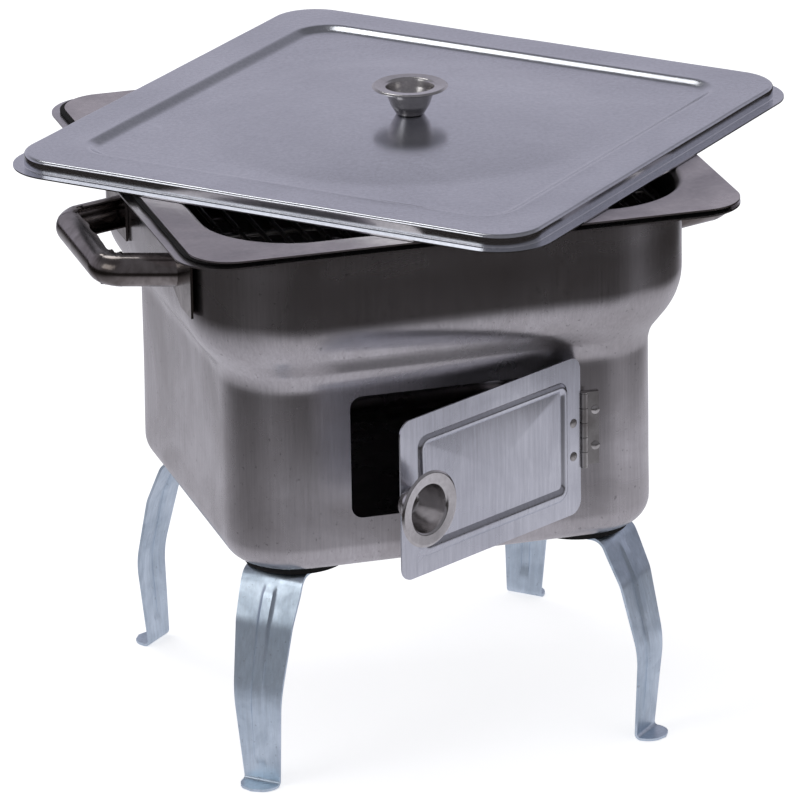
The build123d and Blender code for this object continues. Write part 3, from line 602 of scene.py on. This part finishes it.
# %% Turning a section
def spun(name, section, seat, finish, body, steps=96, flip=False):
    """Carry a section of radius and height once round the seat's axis, as rows of circles."""
    point, side, along, out = [np.array(v, float) for v in seat]
    angle = np.linspace(0, 2 * np.pi, steps, endpoint=False)
    circle = np.cos(angle)[:, None] * side + np.sin(angle)[:, None] * along
    points = point + section[:, :1, None] * circle + section[:, 1:, None] * out
    return skin(name, points, finish, body, flip=flip)


door_turn = np.radians(30.0)
door_side = (np.cos(door_turn), np.sin(door_turn), 0.0)
door_out = (np.sin(door_turn), -np.cos(door_turn), 0.0)
hinge_x, hinge_y = 75.1, -129.1
door_gap, door_width, door_half_height, door_face = 2.8, 149.0, 47.25, -0.3
door_knob_set_in, lid_knob_shift = 5.0, 4.6
knob_place = -(door_gap + door_width - door_knob_set_in)
lid_knob_seat = (
    (lid_x + lid_knob_shift, lid_y, lid_z + floor_z + crown_rise), (1, 0, 0), (0, 1, 0), (0, 0, 1))
door_knob_seat = (
    (hinge_x + knob_place * door_side[0] + door_face * door_out[0],
     hinge_y + knob_place * door_side[1] + door_face * door_out[1], opening_z),
    door_side, (0, 0, 1), door_out)
print("door knob at", np.round(door_knob_seat[0], 1))

# %% [markdown]
# Each knob is a spun steel cup, held by one rivet through its base. Its wall swells below a
# wide flat rim, and the rim's edge is rolled under, so it catches a line of light.

# %% Knobs
cup_section = bent(
    [(0, 0), (8, 0), (11.5, 6), (13.6, 12), (14.6, 16.6), (20.9, 17.1), (21.8, 16.3)],
    [2.5, 8, 8, 1.2, 0.7], arc_steps=8, step=1.2)
for name, seat, body, node in (
    ("lid_cup", lid_knob_seat, "lid", "lid_knob"), ("door_cup", door_knob_seat, "door", "door_knob")
):
    cup = spun(name, cup_section, seat, knob_steel, body)
    thicken(cup, 0.6)
    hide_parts(node)

# %% [markdown]
# ## The door
# The door is one flat sheet with a raised bead pressed round it, wider along the bottom. Its
# outlines nest from the cut edge to the middle: flat margin, the bead's rounded section,
# and an inner panel that the press leaves very slightly domed.

# %% Door surface
margin_left, margin_right, margin_top, margin_low = 14.0, 11.2, 11.9, 10.6
door_ring = square_ring(34, 10)
bead_width, bead_width_low, bead_rise, dome_rise = 5.6, 8.0, 1.6, 0.7
door_corner, bead_corner, inner_bead_corner = 8.0, 7.0, 2.4
outer_box = np.array([-door_gap - door_width, -door_gap, -door_half_height, door_half_height])
bead_box = outer_box + np.array([margin_left, -margin_right, margin_low, -margin_top])
panel_box = bead_box + np.array([bead_width, -bead_width, bead_width_low, -bead_width])
edge_share = np.linspace(0, 1, 5)[:-1]
bead_share = (1 - np.cos(np.linspace(0, np.pi, 17))) / 2
panel_share = np.linspace(0, 1, 22)[1:]
middle_point = np.array([
    (panel_box[0] + panel_box[1]) / 2, (panel_box[0] + panel_box[1]) / 2,
    (panel_box[2] + panel_box[3]) / 2, (panel_box[2] + panel_box[3]) / 2])
boxes = np.concatenate([
    outer_box + edge_share[:, None] * (bead_box - outer_box),
    bead_box + bead_share[:, None] * (panel_box - bead_box),
    panel_box + panel_share[:, None] * (middle_point - panel_box)])
corner = np.concatenate([
    door_corner + edge_share * (bead_corner - door_corner),
    bead_corner + bead_share * (inner_bead_corner - bead_corner),
    inner_bead_corner * (1 - panel_share)])
rise = np.concatenate([
    0 * edge_share, bead_rise * np.sin(np.pi * bead_share) ** 0.8,
    dome_rise * (1 - (1 - panel_share) ** 2)])
u, v = nested(
    door_ring, (boxes[:, 1] - boxes[:, 0]) / 2, (boxes[:, 3] - boxes[:, 2]) / 2, corner,
    (boxes[:, 0] + boxes[:, 1]) / 2, (boxes[:, 2] + boxes[:, 3]) / 2)
out = door_face + rise[:, None] + ripple(u, v, 0.08, 60, 12)
door_points = (np.array([hinge_x, hinge_y, opening_z])
               + u[..., None] * np.array(door_side) + v[..., None] * np.array([0, 0, 1.0])
               + out[..., None] * np.array(door_out))
door = skin("door_sheet", door_points, door_sheet_metal, "door")
thicken(door, 1.0)
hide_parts("door_panel")

# %% [markdown]
# ## The handles
# Each handle is a strip pressed to a channel and bent to a bail, open on its inside, with its
# two arms welded to plates on the collar. The channel's section is carried along the bail.
# Bending such a channel by hand buckles its inner edges, so they wander in and out.

# %% Handles
handle_y, handle_z, handle_half, handle_tip = -10.0, 298.5, 65.8, 192.0
strap_thickness, arm_lean, arm_bend = 1.5, 15.6, 22.0
channel_radius, channel_depth, channel_lip = 9.3, 12.5, 4.5
strap_face = collar_half + strap_thickness
arm_slope = arm_lean / (handle_tip - strap_face)
# The route starts inside the strap, and its points there slide back to the strap's face
start = strap_face - 25.0 * arm_slope
start_half = handle_half + (strap_face - start) * arm_slope


def bail(name, outward, node):
    """A channel section carried along the bail, its arm ends slid flush with the strap face."""
    route = bent(
        [(start, -start_half), (handle_tip, -handle_half + arm_lean),
         (handle_tip, handle_half - arm_lean), (start, start_half)],
        [arm_bend, arm_bend], arc_steps=20, step=1.5)
    way = np.gradient(route, axis=0)
    way /= np.linalg.norm(way, axis=1, keepdims=True)
    inward = np.stack([-way[:, 1], way[:, 0]], axis=1)
    run = np.concatenate([[0], np.cumsum(np.linalg.norm(np.diff(route, axis=0), axis=1))])
    bow = np.radians(np.linspace(-90, 90, 17))
    side = np.array([channel_depth, channel_depth - 1.5])
    depth = np.concatenate([side, channel_radius * (1 - np.cos(bow)), side[::-1]])
    lift = channel_radius * np.concatenate([[1, 1], -np.sin(bow), [-1, -1]])
    lip = np.clip((depth - channel_depth + channel_lip) / channel_lip, 0, 1)
    buckle = (0.5 * np.sin(run / 4.6 + 1.0) + 0.3 * np.sin(run / 2.9)) * np.exp(
        -((run - run[-1] / 2) / 62) ** 6)
    deep = depth + lip * buckle[:, None]
    flare = 1 + 0.05 * np.exp(-(run / 7) ** 2) + 0.05 * np.exp(-((run[-1] - run) / 7) ** 2)
    x = route[:, :1] + inward[:, :1] * deep
    y = route[:, 1:] + inward[:, 1:] * deep
    z = handle_z + lift * flare[:, None] + 0 * x
    short = (strap_face - x) * (x < strap_face)
    y = y + short * (way[:, 1:] / np.where(np.abs(way[:, :1]) > 0.2, way[:, :1], 1.0))
    x = x + short
    points = np.stack([outward * x, y + handle_y, z], -1)
    piece = skin(name, points, black_steel, "base", around=False, flip=outward < 0)
    thicken(piece, 1.0)
    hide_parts(node)
    return piece


bail("left_bail", -1, "left_handle")
bail("right_bail", 1, "right_handle")

# %% [markdown]
# ## The legs
# A leg is a length of zinc-plated strip with a rib pressed down its middle. It starts flat
# under the body, turns down, bows out to a knee and ends in a rounded foot. Rows follow
# the strip, columns go across it, and the rib is a smooth rise along the middle columns.

# %% Legs
leg_top_z, foot_z, leg_sheet = 124.5, 1.6, 1.6
top_half_width, foot_half_width = 19.5, 11.5
tab_round, foot_round = 13.0, 11.0
rib_half, rib_edge, rib_rise = 4.3, 1.3, 1.3


def strip_leg(name, direction, node):
    """The strip's outside line with its width across, ribbed, turned to its corner."""
    line = bent(
        [(93.5, leg_top_z), (145.5, leg_top_z), (158, 97), (168, 55), (163.8, foot_z), (177, foot_z)],
        [10, 30, 60, 2], arc_steps=10, step=2.5)
    way = np.gradient(line, axis=0)
    way /= np.linalg.norm(way, axis=1, keepdims=True)
    out = np.stack([-way[:, 1], way[:, 0]], axis=1)
    run = np.concatenate([[0], np.cumsum(np.linalg.norm(np.diff(line, axis=0), axis=1))])
    wide = np.interp(line[:, 1], [2 * foot_z, leg_top_z - 10], [foot_half_width, top_half_width])
    tab_end = np.sqrt(np.clip(1 - (1 - np.clip(run / tab_round, 0, 1)) ** 2, 0, 1))
    foot_end = np.sqrt(np.clip(1 - (1 - np.clip((run[-1] - run) / foot_round, 0, 1)) ** 2, 0, 1))
    wide = wide * np.minimum(0.34 + 0.66 * tab_end, 1) * foot_end
    across = np.linspace(-1, 1, 41)
    side = wide[:, None] * across
    profile = np.clip((rib_half - np.abs(side)) / rib_edge, 0, 1)
    # The rib runs out over 6 mm above the foot and over 5 mm under the top bend
    ends = np.clip((line[:, 1] - 12) / 6, 0, 1) * np.clip((117 - line[:, 1]) / 5, 0, 1)
    rib = rib_rise * profile**2 * (3 - 2 * profile) * ends[:, None]
    radius = line[:, :1] + out[:, :1] * rib
    z = line[:, 1:] + out[:, 1:] * rib
    angle = np.radians(direction)
    points = np.stack([
        radius * np.cos(angle) - side * np.sin(angle),
        radius * np.sin(angle) + side * np.cos(angle), z], -1)
    piece = skin(name, points, zinc, "base", around=False, flip=True)
    thicken(piece, leg_sheet)
    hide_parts(node)
    return piece


for corner_name, direction in (
    ("front_left", 225), ("front_right", 315), ("back_left", 135), ("back_right", 45)
):
    strip_leg("strip_leg_" + corner_name, direction, "leg_" + corner_name)

# %% [markdown]
# ## Pieces that keep their construction mesh
# The pan, grid, straps, hinge, bolts, nuts, discs and rivets already have the right shape,
# so each only gets its finish in place of the flat colour that came with the model.

# %% Finishes for the kept pieces
finish_of = {
    "fire_pan": pan_stainless, "cooking_grid": grid_wire,
    "leg_bolts": zinc, "leg_nuts": zinc,
    "hinge_wall_leaf": hinge_steel, "hinge_door_leaf": hinge_steel, "hinge_pin": hinge_steel,
    "hinge_wall_rivets": hinge_steel, "hinge_door_rivets": hinge_steel,
    "lid_knob_rivet": rivet_brass, "door_knob_rivet": rivet_brass,
}
finish_of.update({name: black_steel for name in nodes if "strap" in name})
finish_of.update({name: fibre for name in nodes if "disc" in name})
for name, finish in finish_of.items():
    nodes[name].data.materials.clear()
    nodes[name].data.materials.append(finish)
print("kept pieces with a finish:", len(finish_of))
